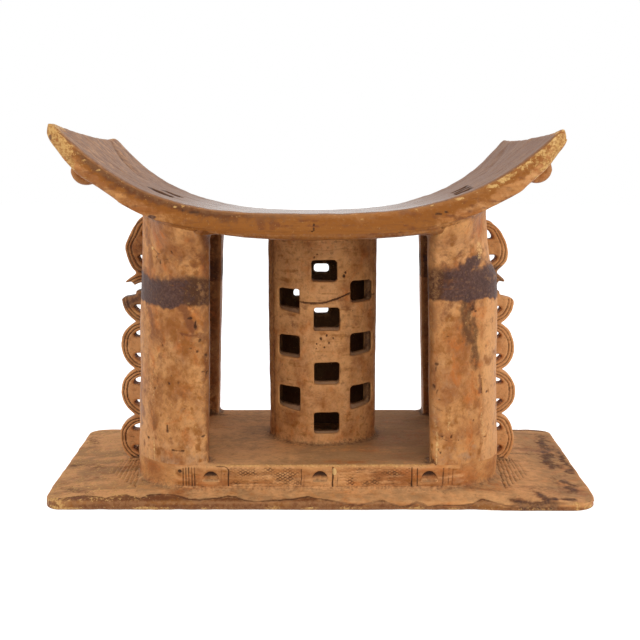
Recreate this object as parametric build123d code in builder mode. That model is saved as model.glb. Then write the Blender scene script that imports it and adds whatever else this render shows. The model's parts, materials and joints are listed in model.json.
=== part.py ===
# Carved wooden stool: a crescent seat over a pierced hollow column, four gutter-shaped corner
# posts and two openwork end fins, all standing on a stepped base plate.
# Millimetres, +X along the length, +Y to the back, +Z up, origin under the middle of the base.

import os
from math import cos, radians, sin, tan

from build123d import *

# Base plate: a thin board with worn edges, whose top rises to the foot of the platform
plate_front_width = 554.0
plate_back_width = 574.0
plate_depth = 256.0
plate_corner_radius = 14.0
plate_edge_height = 9.0
plate_rise = 7.0
plate_edge_round = 2.5

# Platform on the plate, as wide and deep as the posts that stand on it
step_width = 379.0
step_x = -2.5
step_depth = 218.0
step_corner_radius = 65.0
step_height = 24.5

# Frieze on the front and the back of the platform
moon_width = 17.0
moon_height = 10.5
moon_depth = 6.0
moon_lift = 7.5
moon_spacing = 110.0
moon_count = 3
frame_line_width = 1.6
frame_line_depth = 1.0
frame_line_height = 18.0
frame_line_offsets = (14.5, 18.5)

# Corner posts: gutter-shaped walls, hollow side towards the column
post_wall = 26.0
post_length = {"left": 78.7, "right": 75.7}
post_end_gap = 42.0
post_rim_radius = 10.0
post_inner_rim_radius = {"front": 10.0, "back": 2.4}
post_outer_lean = {"left": 2.1, "right": 3.9}
post_inner_lean = {"front": 1.4, "back": 2.0}
post_back_shortfall = {"left": 8.7, "right": 13.0}
post_face_lean = 0.9

# Hollow column
column_x = 2.8
column_y = 8.0
column_foot_width = 117.5
column_head_width = 119.0
column_depth = 94.0
column_wall = 13.0

# Checker of openings in its front and its back: the rows on the left, in the middle and on the right
hole_root = 10.0
hole_heights = {"front": 21.5, "back": 9.5}
hole_widths = {"front": (22.0, 27.0, 22.5), "back": (16.5, 16.5, 16.5)}
hole_shifts = {"front": (-35.3, 4.2, 40.9), "back": (-24.8, -1.3, 21.2)}
hole_levels = {
    "front": ((92.1, 148.0, 198.4), (64.9, 119.8, 178.6, 229.0), (92.9, 149.9, 206.0)),
    "back": ((98.0, 151.5, 195.5), (66.0, 121.0, 175.0, 222.5), (81.0, 151.5, 195.5)),
}

# Seat: a slab bent up at both ends, a little lower and narrower at the back
seat_x = -11.0
seat_depth = 264.0
seat_front_width = 480.0
seat_back_width = 464.0
seat_top_height = 293.2
seat_front_rise = 83.8
seat_back_rise = 79.0
seat_back_drop = 7.5
seat_thickness = 16.2
seat_tip_overhang = 3.0
seat_tip_drop = 11.0
seat_tip_radius = 4.0
seat_end_sag = 6.0
seat_edge_round = 3.0

# Pad that is left under the middle of the seat: it laps the posts and stands out past their faces
keel_lap = 3.0
keel_overhang = 4.0
keel_middle_drop = 9.0
keel_end_drop = 0.8
keel_sink = 8.0

# Openwork fins at the ends: stacked lobes on an upright strip, one lobe broken
fin_thickness = 18.0
fin_strip_width = 9.0
fin_strip_inset = {"left": 8.6, "right": 7.4}
fin_lean = {"left": 3.5, "right": 3.6}
fin_lobe_count = 5
fin_lobe_pitch = 53.0
fin_lobe_radius = 28.5
fin_lobe_offset = 1.5
fin_rim_width = 10.0
fin_web_height = 17.0
fin_lowest_lobe = 39.0
broken_lobe = 3
break_reach = 13.0
break_bottom = 1.0
break_top = 19.0
break_slope = 13.4

# Grip lugs under the ends of the seat
lug_radius = 16.0
lug_thickness = 20.0
lug_inset = {"left": 2.0, "right": 0.5}
lug_rise = {"left": 40.8, "right": 42.0}
lug_run = 25.0
lug_slope = 50.0
lug_edge_round = 6.0

# Levels, half sizes and sides that follow from the above
sides = {"left": -1, "right": 1}
ends = {"front": -1, "back": 1}
plate_top = plate_edge_height + plate_rise
step_top = plate_top + step_height
seat_underside = seat_top_height - seat_thickness
head_level = seat_top_height + seat_front_rise
ceiling = 2 * head_level
post_end_reach = {side: step_width / 2 + hand * step_x for side, hand in sides.items()}
post_inner_reach = {side: post_end_reach[side] - post_length[side] for side in sides}
post_face_reach = step_depth / 2
keel_reach = {side: post_inner_reach[side] + keel_lap for side in sides}
keel_face_reach = post_face_reach + keel_overhang
lug_reach = {side: seat_front_width / 2 - lug_inset[side] for side in sides}
lug_height = {side: seat_top_height + lug_rise[side] for side in sides}
half_seat_depth = seat_depth / 2


def front_plane(y, lift=0.0):
    """Upright plane across the stool: local x is +X, local y is +Z."""
    return Plane(origin=(0, y, lift), x_dir=(1, 0, 0), z_dir=(0, -1, 0))


def seat_drop(y):
    """How far the seat has sunk at depth y, measured from its front edge."""
    return seat_back_drop * (y + half_seat_depth) / seat_depth


def upper_curve(half, rise, hand):
    """Half of the sitting surface: it rises with the cube of the distance from the middle."""
    start = seat_top_height
    points = [(0, start), (half / 3, start), (2 * half / 3, start), (half, start + rise)]
    return Bezier(*[(seat_x + hand * x, z) for x, z in points])


def lower_curve(half, rise, hand):
    """Half of the underside: it rises with the fourth power of the distance."""
    reach = half + seat_tip_overhang
    start = seat_underside
    tip = seat_top_height + rise - seat_tip_drop
    points = [(0, start), (reach / 4, start), (reach / 2, start), (3 * reach / 4, start), (reach, tip)]
    return Bezier(*[(seat_x + hand * x, z) for x, z in points])


seat_sections = (
    (-half_seat_depth, seat_front_width / 2, seat_front_rise),
    (half_seat_depth, seat_back_width / 2, seat_back_rise),
)


# Base plate
def plate_outline():
    """Outline of the plate, wider at the back than at the front."""
    front = plate_front_width / 2
    back = plate_back_width / 2
    reach = plate_depth / 2
    with BuildSketch() as outline:
        with BuildLine():
            Polyline((-front, -reach), (front, -reach), (back, reach), (-back, reach), close=True)
        make_face()
        fillet(outline.vertices(), plate_corner_radius)
    return outline.sketch


with BuildPart() as base_plate:
    with BuildSketch():
        add(plate_outline())
    extrude(amount=plate_edge_height)
    fillet(base_plate.edges().group_by(Axis.Z)[0], plate_edge_round)
    with BuildSketch(Plane.XY.offset(plate_edge_height)):
        add(plate_outline())
    with BuildSketch(Plane.XY.offset(plate_top)):
        with Locations((step_x, 0)):
            RectangleRounded(step_width, step_depth, step_corner_radius)
    loft(ruled=True)
base_plate.part.label = "base_plate"

# Platform with its frieze
with BuildPart() as base_step:
    with BuildSketch(Plane.XY.offset(plate_top)):
        with Locations((step_x, 0)):
            RectangleRounded(step_width, step_depth, step_corner_radius)
    extrude(amount=step_height)
    for face_turn in (1, -1):
        face_plane = Plane(
            origin=(0, -face_turn * post_face_reach, plate_top),
            x_dir=(face_turn, 0, 0),
            z_dir=(0, -face_turn, 0),
        )
        with BuildSketch(face_plane):
            with GridLocations(moon_spacing, 0, moon_count, 1):
                with Locations((0, moon_lift)):
                    Ellipse(moon_width / 2, moon_height)
                with Locations((0, moon_lift - moon_height / 2)):
                    Rectangle(moon_width, moon_height, mode=Mode.SUBTRACT)
        extrude(amount=-moon_depth, mode=Mode.SUBTRACT)
        with BuildSketch(face_plane):
            with GridLocations(moon_spacing, 0, moon_count, 1):
                for offset_x in frame_line_offsets:
                    with Locations((-offset_x, step_height / 2), (offset_x, step_height / 2)):
                        Rectangle(frame_line_width, frame_line_height)
        extrude(amount=-frame_line_depth, mode=Mode.SUBTRACT)
base_step.part.label = "base_step"

# Seat slab
with BuildPart() as seat:
    for y, half, rise in seat_sections:
        with BuildSketch(front_plane(y, -seat_drop(y))) as section:
            with BuildLine():
                for hand in sides.values():
                    top = upper_curve(half, rise, hand)
                    low = lower_curve(half, rise, hand)
                    Line(top @ 1, low @ 1)
            make_face()
            fillet(section.vertices().group_by(Axis.X)[0], seat_tip_radius)
            fillet(section.vertices().group_by(Axis.X)[-1], seat_tip_radius)
    loft(ruled=True)
    with BuildSketch(Plane.YZ):
        with BuildLine():
            front_tip = (-half_seat_depth, seat_top_height + seat_front_rise)
            back_tip = (half_seat_depth, seat_top_height + seat_back_rise - seat_back_drop)
            sag_point = (0, (front_tip[1] + back_tip[1]) / 2 - seat_end_sag)
            ThreePointArc(front_tip, sag_point, back_tip)
            Polyline(
                back_tip,
                (half_seat_depth, ceiling),
                (-half_seat_depth, ceiling),
                front_tip,
            )
        make_face()
    extrude(amount=seat_front_width, both=True, mode=Mode.SUBTRACT)
    long_edges = seat.edges().filter_by(lambda edge: edge.length > seat_back_width)
    fillet(long_edges, seat_edge_round)
seat.part.label = "seat"

# Everything above the underside of the slab: what reaches the seat is trimmed with it
with BuildPart() as above_seat:
    for y, half, rise in seat_sections:
        with BuildSketch(front_plane(y, -seat_drop(y))):
            with BuildLine():
                corners = []
                for hand in sides.values():
                    low = lower_curve(half, rise, hand)
                    corners.append((low @ 1, (seat_x + hand * 2 * half, (low @ 1).Y)))
                for tip, out in corners:
                    Line(tip, out)
                    Line(out, (out[0], ceiling))
                Line((corners[0][1][0], ceiling), (corners[1][1][0], ceiling))
            make_face()
    loft(ruled=True)

# Pad under the middle of the seat
with BuildPart() as seat_keel:
    for end in ends.values():
        y = end * keel_face_reach
        bottom = seat_underside - keel_middle_drop
        shoulder = seat_underside - keel_end_drop
        with BuildSketch(front_plane(y, -seat_drop(y))):
            with BuildLine():
                left, right = -keel_reach["left"], keel_reach["right"]
                ThreePointArc((left, shoulder), (0, bottom), (right, shoulder))
                Polyline(
                    (right, shoulder),
                    (right, seat_underside + keel_sink),
                    (left, seat_underside + keel_sink),
                    (left, shoulder),
                )
            make_face()
    loft(ruled=True)
    add(above_seat.part, mode=Mode.SUBTRACT)
seat_keel.part.label = "seat_keel"


# Corner posts
def post_section(level, side, end):
    """Section of one post: a piece of the platform's rounded outline, as a wall with round rims."""
    climb = level - step_top
    outer_x = post_end_reach[side] - climb * tan(radians(post_outer_lean[side]))
    inner_x = post_inner_reach[side] - climb * tan(radians(post_inner_lean[end]))
    if end == "back":
        inner_x += post_back_shortfall[side]
    outer_y = post_face_reach - climb * tan(radians(post_face_lean))
    inner_y = post_end_gap / 2
    center = (sides[side] * (outer_x + inner_x) / 2, ends[end] * (outer_y + inner_y) / 2)
    radius = step_corner_radius - (post_end_reach[side] - outer_x)
    with BuildSketch(Plane.XY.offset(level)) as section:
        RectangleRounded(2 * outer_x, 2 * outer_y, radius)
        RectangleRounded(
            2 * (outer_x - post_wall),
            2 * (outer_y - post_wall),
            radius - post_wall,
            mode=Mode.SUBTRACT,
        )
        with Locations(center):
            Rectangle(outer_x - inner_x, outer_y - inner_y, mode=Mode.INTERSECT)
        along = section.vertices().group_by(Axis.Y)[0 if ends[end] > 0 else -1]
        fillet(along, post_rim_radius)
        across = section.vertices().group_by(Axis.X)[0 if sides[side] > 0 else -1]
        fillet(across, post_inner_rim_radius[end])
    return section.sketch


posts = {}
for side in sides:
    for end in ends:
        with BuildPart() as post:
            for level in (step_top, head_level):
                with BuildSketch(Plane.XY.offset(level)):
                    add(post_section(level, side, end))
            loft(ruled=True)
            add(above_seat.part, mode=Mode.SUBTRACT)
            add(seat_keel.part, mode=Mode.SUBTRACT)
        post.part.label = f"post_{end}_{side}"
        posts[post.part.label] = post.part

# Hollow column
with BuildPart() as center_column:
    for inset, mode in ((0, Mode.ADD), (column_wall, Mode.SUBTRACT)):
        for level, width in ((step_top, column_foot_width), (head_level, column_head_width)):
            with BuildSketch(Plane.XY.offset(level)):
                with Locations((column_x, column_y)):
                    Ellipse(width / 2 - inset, column_depth / 2 - inset)
        loft(ruled=True, mode=mode)
    for end, hand in ends.items():
        rows = zip(hole_shifts[end], hole_widths[end], hole_levels[end])
        with BuildSketch(front_plane(column_y + hand * hole_root)):
            for shift, width, levels in rows:
                with Locations(*[(column_x + shift, level) for level in levels]):
                    Rectangle(width, hole_heights[end])
        extrude(amount=-hand * column_depth, mode=Mode.SUBTRACT)
    add(above_seat.part, mode=Mode.SUBTRACT)
    add(seat_keel.part, mode=Mode.SUBTRACT)
center_column.part.label = "center_column"


# End fins
def strip_reach(level, side):
    """Distance of the strip's inner edge from the middle of the stool: it leans inwards."""
    climb = level - step_top
    return post_end_reach[side] - fin_strip_inset[side] - climb * tan(radians(fin_lean[side]))


def lobe_center(lobe, side):
    """Middle of one lobe of a fin."""
    level = fin_lowest_lobe + lobe * fin_lobe_pitch
    return (sides[side] * (strip_reach(level, side) + fin_strip_width + fin_lobe_offset), level)


def strip_outline(side, inner, outer):
    """Upright band along the leaning strip, from inner to outer beyond its inner edge."""
    hand = sides[side]
    foot = strip_reach(0, side)
    head = strip_reach(head_level, side)
    return [
        (hand * (foot + inner), 0),
        (hand * (foot + outer), 0),
        (hand * (head + outer), head_level),
        (hand * (head + inner), head_level),
    ]


def lobe_piercing(hand):
    """The two openings of a lobe, above and below its web, outside the strip."""
    eye = fin_lobe_radius - fin_rim_width
    with BuildSketch() as piercing:
        Circle(eye)
        Rectangle(2 * eye, fin_web_height, mode=Mode.SUBTRACT)
        with Locations((-hand * (fin_lobe_offset + eye), 0)):
            Rectangle(2 * eye, 2 * eye, mode=Mode.SUBTRACT)
    return piercing.sketch


fins = {}
for side, hand in sides.items():
    with BuildPart() as fin:
        with BuildSketch(front_plane(0)):
            for lobe in range(fin_lobe_count):
                with Locations(lobe_center(lobe, side)):
                    Circle(fin_lobe_radius)
            with BuildLine():
                Polyline(*strip_outline(side, -2 * fin_lobe_radius, 0), close=True)
            make_face(mode=Mode.SUBTRACT)
            with BuildLine():
                Polyline(*strip_outline(side, 0, fin_strip_width), close=True)
            make_face()
            for lobe in range(fin_lobe_count):
                with Locations(lobe_center(lobe, side)):
                    add(lobe_piercing(hand), mode=Mode.SUBTRACT)
            broken_x, broken_z = lobe_center(broken_lobe, side)
            break_width = 2 * fin_lobe_radius
            fall = break_width * tan(radians(break_slope))
            near = broken_x + hand * break_reach
            far = near + hand * break_width
            with BuildLine():
                Polyline(
                    (near, broken_z + break_bottom),
                    (far, broken_z + break_bottom - fall),
                    (far, broken_z + break_top - fall),
                    (near, broken_z + break_top),
                    close=True,
                )
            make_face(mode=Mode.SUBTRACT)
        extrude(amount=fin_thickness / 2, both=True)
        for neighbour in (base_plate, base_step, above_seat):
            add(neighbour.part, mode=Mode.SUBTRACT)
    fin.part.label = f"end_fin_{side}"
    fins[fin.part.label] = fin.part

# Grip lugs
lugs = {}
for side, hand in sides.items():
    with BuildPart() as lug:
        middle_x = seat_x + hand * (lug_reach[side] - lug_run / 2 * cos(radians(lug_slope)))
        middle_z = lug_height[side] - seat_drop(0) + lug_run / 2 * sin(radians(lug_slope))
        with BuildSketch(front_plane(0)):
            with Locations((middle_x, middle_z)):
                SlotCenterToCenter(lug_run, 2 * lug_radius, rotation=-hand * lug_slope)
        extrude(amount=lug_thickness / 2, both=True)
        fillet(lug.faces().filter_by(Axis.Y).edges(), lug_edge_round)
        add(above_seat.part, mode=Mode.SUBTRACT)
    lug.part.label = f"grip_lug_{side}"
    lugs[lug.part.label] = lug.part

pieces = [base_plate.part, base_step.part, seat.part, seat_keel.part, center_column.part]
pieces += [*posts.values(), *fins.values(), *lugs.values()]
os.makedirs("parts", exist_ok=True)
for piece in pieces:
    export_step(piece, f"parts/{piece.label}.step")
    print(f"{piece.label:18} solids {len(piece.solids())}  volume {piece.volume / 1000:8.1f} cm3")
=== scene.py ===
# Ashanti stool. The members of the frame are joined into one block of wood, rounded and
# carved as one, and then cut into the members again, so that the wood runs on across them.
import json
import math
import bpy
import bmesh
import numpy as np
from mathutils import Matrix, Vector
from mathutils.bvhtree import BVHTree


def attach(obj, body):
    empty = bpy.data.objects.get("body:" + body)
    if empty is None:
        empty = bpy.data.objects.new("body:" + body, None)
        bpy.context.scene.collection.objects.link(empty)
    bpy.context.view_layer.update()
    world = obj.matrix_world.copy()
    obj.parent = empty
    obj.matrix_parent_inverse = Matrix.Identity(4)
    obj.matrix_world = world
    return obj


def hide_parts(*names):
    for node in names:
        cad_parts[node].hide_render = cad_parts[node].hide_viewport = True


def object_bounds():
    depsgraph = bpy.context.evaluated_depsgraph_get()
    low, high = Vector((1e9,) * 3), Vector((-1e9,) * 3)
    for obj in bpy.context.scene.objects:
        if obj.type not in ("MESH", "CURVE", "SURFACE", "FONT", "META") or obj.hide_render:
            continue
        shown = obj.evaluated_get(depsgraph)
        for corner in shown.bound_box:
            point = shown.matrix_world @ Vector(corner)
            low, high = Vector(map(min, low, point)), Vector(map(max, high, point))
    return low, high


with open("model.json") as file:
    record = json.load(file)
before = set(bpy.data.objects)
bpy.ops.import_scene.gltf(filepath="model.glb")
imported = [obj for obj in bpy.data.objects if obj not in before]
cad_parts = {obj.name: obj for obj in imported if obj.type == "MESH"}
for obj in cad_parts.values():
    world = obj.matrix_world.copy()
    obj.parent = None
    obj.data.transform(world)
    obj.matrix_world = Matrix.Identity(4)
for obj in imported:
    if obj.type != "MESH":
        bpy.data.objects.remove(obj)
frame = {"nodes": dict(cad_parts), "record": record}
cadBox = [list(corner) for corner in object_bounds()]
names = list(frame["nodes"])
print("frame loaded:", len(names), "members")

view = {"lens": 53.4375, "place": (0, -1.0249, 0.345), "pitchDown": 9.68}
eye = bpy.data.cameras.new("eye")
eye.lens = view["lens"]
eyeObject = bpy.data.objects.new("eye", eye)
eyeObject.location = view["place"]
eyeObject.rotation_euler = (math.radians(90 - view["pitchDown"]), 0, 0)
bpy.context.scene.collection.objects.link(eyeObject)
bpy.context.scene.camera = eyeObject
bpy.context.scene.view_settings.view_transform = "Standard"


def tone(*levels):
    # a colour written as 0-255, made linear for the shaders
    return tuple(((c / 255 + 0.055) / 1.055) ** 2.4 if c > 10 else c / 3294 for c in levels) + (1,)


# numbers of the carving, in mm
seatForm = {"middle": -11, "front": 240, "back": 232, "riseFront": 83.8, "riseBack": 79, "top": 293.2,
            "backDrop": 7.5, "halfDepth": 132, "underside": 277, "tipDrop": 11, "thickness": 16.2,
            "overhang": 3, "valley": [(165, 10), (179, 20), (192, 27), (207, 44), (223, 69), (231, 86),
                                      (245, 100)]}
blockForm = {"voxel": 1.66, "rounds": 2, "windows": 0.12, "postFace": 109, "keelFace": 113, "lean": 0.016,
             "flareFrom": 84, "postFlare": 22, "keelFlare": 17.5, "stepTop": 40.5, "plateHalf": 277.5,
             "plateDepth": 128, "cornerRound": 26, "groove": 2.6, "dish": 1.1, "most": 195000}
columnForm = {"middle": (2.8, 8), "radii": (57.5, 46), "hollow": (50, 40), "floor": 38, "ceiling": 272}
tipForm = {"rightOut": 2.4, "rightDown": 3.2, "noseOut": 1.2, "noseDown": 5, "leftUp": 2.6, "out": (-2.2, -1)}
# the unevenness of all the wood: (depth, size of its waves, seed)
uneven = [(0.55, 46, 1), (0.3, 15, 2), (0.1, 5, 3)]
# how the carver's hand left the even curve: the seat's edges by x, the fins and the posts by height
strayForm = {
    "back": [
        (-243, 3.5), (-228, 2.5), (-214, 0), (-183, -2), (-120, -0.8), (-60, -2.2), (60, -2.2), (110, -1.6),
        (150, -3), (183, -2.4), (200, 1), (215, 3.6), (226, 4.5)],
    "front": [(-250, 3.2), (-232, 2.6), (-205, 1.4), (-170, 0.3), (190, 0.4), (215, 0.4), (226, -1.2)],
    "finOut": {
        -1: [
            (20, 0), (40, -1), (58, 1), (70, -1), (100, 0), (120, 1.5), (150, 1), (170, 1.5), (190, 2.5),
            (205, 2), (214, 4.5), (222, 4), (232, 1), (240, -0.5), (252, -0.5), (262, -4), (270, -5),
            (280, -2), (290, -2), (298, 0)],
        1: [
            (15, 0), (30, -3), (48, -4), (60, -1), (80, 0), (105, -0.5), (120, 2), (135, 1), (155, -1),
            (170, 2), (185, 2.5), (205, 1), (214, -2.5), (222, -2), (236, -0.5), (250, -4), (262, -6.5),
            (275, -6.5), (285, -3), (290, -3), (298, 1.9)],
    },
    "finUp": {
        -1: [
            (20, 0), (45, 0), (62, -2), (105, -1), (123, -2.5), (155, -1), (175, -3), (187, -2), (196, 0.5),
            (206, -2.5), (222, -3.5), (240, -0.5), (250, 0), (262, 3), (275, 6), (290, 7), (298, 2)],
        1: [
            (20, 0), (100, 0), (118, -3), (130, -3), (155, -1.5), (175, -5), (188, -3), (197, -0.5),
            (207, -2.5), (222, -1.5), (240, 0), (290, 0), (298, 3.2)],
    },
    "postOut": {
        -1: [(24, 0), (100, 0), (130, -0.8), (180, -0.2), (200, -1), (240, -2.2), (262, -2.7), (285, -2.7)],
        1: [
            (24, 0.4), (45, 0.6), (73, 1), (131, 2.4), (175, 5), (209, 5.9), (228, 5.8), (236, 3),
            (243, -0.5), (250, -1), (262, -2.4), (285, -3)],
    },
}


def ramp(value, low, high):
    t = np.clip((value - low) / (high - low), 0, 1)
    return t * t * (3 - 2 * t)


def fade(value, low, high):
    return 1 - ramp(value, low, high)


def beside(gap, low, high):
    # 1 where the gap either way is under the first measure, 0 where it is over the second
    return fade(np.abs(gap), low, high)


def seatBlend(p):
    return np.clip((p[:, 1] + seatForm["halfDepth"]) / (2 * seatForm["halfDepth"]), 0, 1)


def seatSide(p, level, wider, higher, power):
    s = seatForm
    u = seatBlend(p)
    half = s["front"] + (s["back"] - s["front"]) * u + wider
    rise = s["riseFront"] + (s["riseBack"] - s["riseFront"]) * u + higher
    return level - s["backDrop"] * u + rise * np.abs((p[:, 0] - s["middle"]) / half) ** power


def seatTop(p):
    return seatSide(p, seatForm["top"], 0, 0, 3)


def seatUnder(p):
    s = seatForm
    return seatSide(p, s["underside"], s["overhang"], s["thickness"] - s["tipDrop"], 4)


def spots(p, cell, seed, low, high):
    return ramp(lattice(p, cell, seed), low, high)


def layered(p, cell, finer, share, seed):
    return lattice(p, cell, seed) + share * lattice(p, finer, seed + 1)


def columnRing(p, radii=columnForm["radii"]):
    # below 1 inside an oval round the column's middle, above 1 outside it
    (mx, my), (rx, ry) = columnForm["middle"], radii
    return np.hypot((p[:, 0] - mx) / rx, (p[:, 1] - my) / ry)


def lattice(p, cell, seed):
    # smooth value noise from -1 to 1 on a lattice of cells (mm)
    q = p / np.array(cell, float) + 17.3 * seed
    base = np.floor(q).astype(np.int64)
    f = q - base
    f = f * f * (3 - 2 * f)
    total = np.zeros(len(p))
    for corner in range(8):
        step = np.array([corner & 1, corner >> 1 & 1, corner >> 2])
        h = (base + step) @ np.array([374761393, 668265263, 915488749]) + seed * 40503
        h = (h ^ (h >> 13)) * 1274126177
        h = (h ^ (h >> 16)) & 65535
        weight = np.prod(np.where(step == 1, f, 1 - f), axis=1)
        total += weight * (h / 32767.5 - 1)
    return total


def fetch(items, field, kind=float, width=1):
    # one field of all the items of a mesh
    values = np.zeros(len(items) * width, kind)
    items.foreach_get(field, values)
    return values.reshape(-1, width) if width > 1 else values


def getPoints(mesh):
    return fetch(mesh.vertices, "co", width=3) * 1000


def setPoints(mesh, points):
    mesh.vertices.foreach_set("co", (points / 1000).ravel())
    mesh.update()


def getNormals(mesh):
    return fetch(mesh.vertices, "normal", width=3)


def getEdges(mesh):
    return fetch(mesh.edges, "vertices", np.int32, 2)


def relax(points, edges, mask, rounds):
    # moves each point halfway to the mean of its neighbours, as far as its mask lets it
    points = points.copy()
    if mask is not None:
        edges = edges[(mask[edges[:, 0]] > 0.01) | (mask[edges[:, 1]] > 0.01)]
    used, inverse = np.unique(edges, return_inverse=True)
    a, b = inverse.reshape(-1, 2).T
    local = points[used]
    count = len(used)
    degree = np.bincount(a, minlength=count) + np.bincount(b, minlength=count)
    share = 0.5 * (np.ones(count) if mask is None else mask[used])
    for _ in range(rounds):
        for k in range(3):
            mean = np.bincount(a, local[b, k], count) + np.bincount(b, local[a, k], count)
            local[:, k] += share * (mean / degree - local[:, k])
    points[used] = local
    return points


def along(value, pairs):
    return np.interp(value, [a for a, _ in pairs], [b for _, b in pairs])


def finStray(p):
    # outward and upward shift of the points of a fin: none at the strip, all of it at the rim
    x, z = p[:, 0], p[:, 2]
    out, up = np.zeros(len(p)), np.zeros(len(p))
    strip = 184 - 0.062 * (z - 40)
    for hand in (-1, 1):
        past = hand * x - strip
        out += hand * ramp(past, 7, 24) * along(z, strayForm["finOut"][hand])
        up += ramp(past, 2, 14) * along(z, strayForm["finUp"][hand])
    return out, up


def makeBlock():
    bm = bmesh.new()
    for member in frame["nodes"].values():
        bm.from_mesh(member.data)
    bmesh.ops.remove_doubles(bm, verts=bm.verts, dist=1e-6)
    joined = bpy.data.meshes.new("joined")
    bm.to_mesh(joined)
    bm.free()
    log = bpy.data.objects.new("log", joined)
    bpy.context.scene.collection.objects.link(log)
    remesh = log.modifiers.new("fuse", "REMESH")
    remesh.mode = "VOXEL"
    remesh.voxel_size = blockForm["voxel"] / 1000
    remesh.adaptivity = 0
    remesh.use_smooth_shade = True
    mesh = bpy.data.meshes.new_from_object(log.evaluated_get(bpy.context.evaluated_depsgraph_get()))
    log.modifiers.clear()
    log.data = mesh
    return log


def nearestMember(mesh):
    # which member each face of the block belongs to
    corners, triangles, owner = [], [], []
    for index, name in enumerate(names):
        data = frame["nodes"][name].data
        start = len(corners)
        corners += [v.co.copy() for v in data.vertices]
        for polygon in data.polygons:
            triangles.append([start + v for v in polygon.vertices])
            owner.append(index)
    tree = BVHTree.FromPolygons(corners, triangles)
    label = np.array([owner[tree.find_nearest(face.center)[2]] for face in mesh.polygons])
    c = fetch(mesh.polygons, "center", width=3) * 1000
    # the floor and the ceiling of the column's hollow belong to the column
    inside = (columnRing(c, columnForm["hollow"]) < 1) & (c[:, 2] > columnForm["floor"])
    label[inside & (c[:, 2] < columnForm["ceiling"])] = names.index("center_column")
    # smooth the borders between members
    edgeOf = fetch(mesh.loops, "edge_index", np.int32)
    sides = fetch(mesh.polygons, "loop_total", np.int32)
    faceOf = np.repeat(np.arange(len(sides)), sides)
    order = np.argsort(edgeOf, kind="stable")
    left, right = faceOf[order[0::2]], faceOf[order[1::2]]
    kinds = len(names)
    for _ in range(8):
        votes = np.bincount(left * kinds + label[right], minlength=len(sides) * kinds)
        votes += np.bincount(right * kinds + label[left], minlength=len(sides) * kinds)
        votes = votes.reshape(-1, kinds).astype(float)
        votes[np.arange(len(sides)), label] += 1.5
        label = votes.argmax(1)
    return label


log = makeBlock()
mesh = log.data
print("block fused:", len(mesh.polygons), "faces")
label = nearestMember(mesh)
print("faces shared out")

edges = getEdges(mesh)
points = getPoints(mesh)
x, y, z = points.T
byWindow = (np.abs(x - columnForm["middle"][0]) < 57) & (y < -5) & (y > -45) & (z > 48) & (z < 248)
points = relax(points, edges, np.where(byWindow, blockForm["windows"], 1.0), blockForm["rounds"])
x, y, z = points.T
top, under = seatTop(points), seatUnder(points)
postArea = (np.abs(x) > 100) & (np.abs(x) < 190) & (np.abs(y) > 18)

# the posts and the keel flare out to meet the lower edge of the seat
# (what lies between their faces and the seat's is pressed together, so that nothing folds)
rim = seatForm["halfDepth"]
atPost = ramp(np.abs(x + 3), 98, 112)
inner = beside(x, 188, 195)
postRise = ramp(z - under, -44, -2) ** 1.4 * atPost
keelRise = ramp(z, 262, 269) * (1 - atPost)
flare = blockForm["postFlare"] * postRise + blockForm["keelFlare"] * keelRise
reach = np.abs(y)
lean = blockForm["lean"] * np.clip(z - 41, 0, 230) * atPost
face = blockForm["postFace"] * atPost + blockForm["keelFace"] * (1 - atPost) - lean
inward = reach + flare * ramp(reach, blockForm["flareFrom"], face)
pressed = rim - (rim - reach) * np.clip(rim - face - flare, 0.6, 40) / (rim - face)
moved = np.where(reach < face, inward, pressed) * inner + reach * (1 - inner)
near = (z < under + 1.2) & (reach > blockForm["flareFrom"]) & (reach < rim) & (z > 200)
points[:, 1] = np.where(near, np.sign(y) * moved, y)
reach = np.abs(y)
# the posts' outer sides wander
onPost = (reach > 16) * (np.abs(x) > 150) * (z > 24) * ramp(under - z, 0, 8) * (np.abs(x) < 196)
for hand in (-1, 1):
    outer = onPost * hand * ramp(hand * x, 152, 176)
    points[:, 0] += outer * along(z, strayForm["postOut"][hand]) * ramp(reach, 16, 40)
# the right tip is fuller underneath
tipRight = ramp(x, 150, 214) * fade(y, -118, 20) * fade(z - under, 1, 12)
points[:, 0] += tipForm["rightOut"] * tipRight
points[:, 2] -= tipForm["rightDown"] * tipRight

# worn lower edges of the seat, its rounded tips, and the soft joins of seat, posts, keel and column
away = np.abs(x - seatForm["middle"])
edgeFront = ramp(reach, 120, 128) * beside(z - under, 6, 13) * (z < top - 5)
joinPost = beside(z - under, 8, 20) * (reach < 130) * (np.abs(x) < 192) * (z < top - 5)
joinKeel = beside(z - 268, 4, 9) * (np.abs(x) < 75)
tipRound = ramp(away, 222, 234) * (z > 330)
edgeTop = ramp(reach, 119, 129) * beside(z - top, 5, 10)
edgeTop *= 0.25 + 0.75 * ramp(away, 100, 200)
tipEnd = ramp(away, 226, 236) * (z > 340)
for mask, rounds in ((edgeFront, 36), (joinPost + joinKeel, 30), (tipRound + edgeTop, 22), (tipEnd, 40)):
    points = relax(points, edges, np.clip(mask, 0, 1), rounds)
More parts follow.
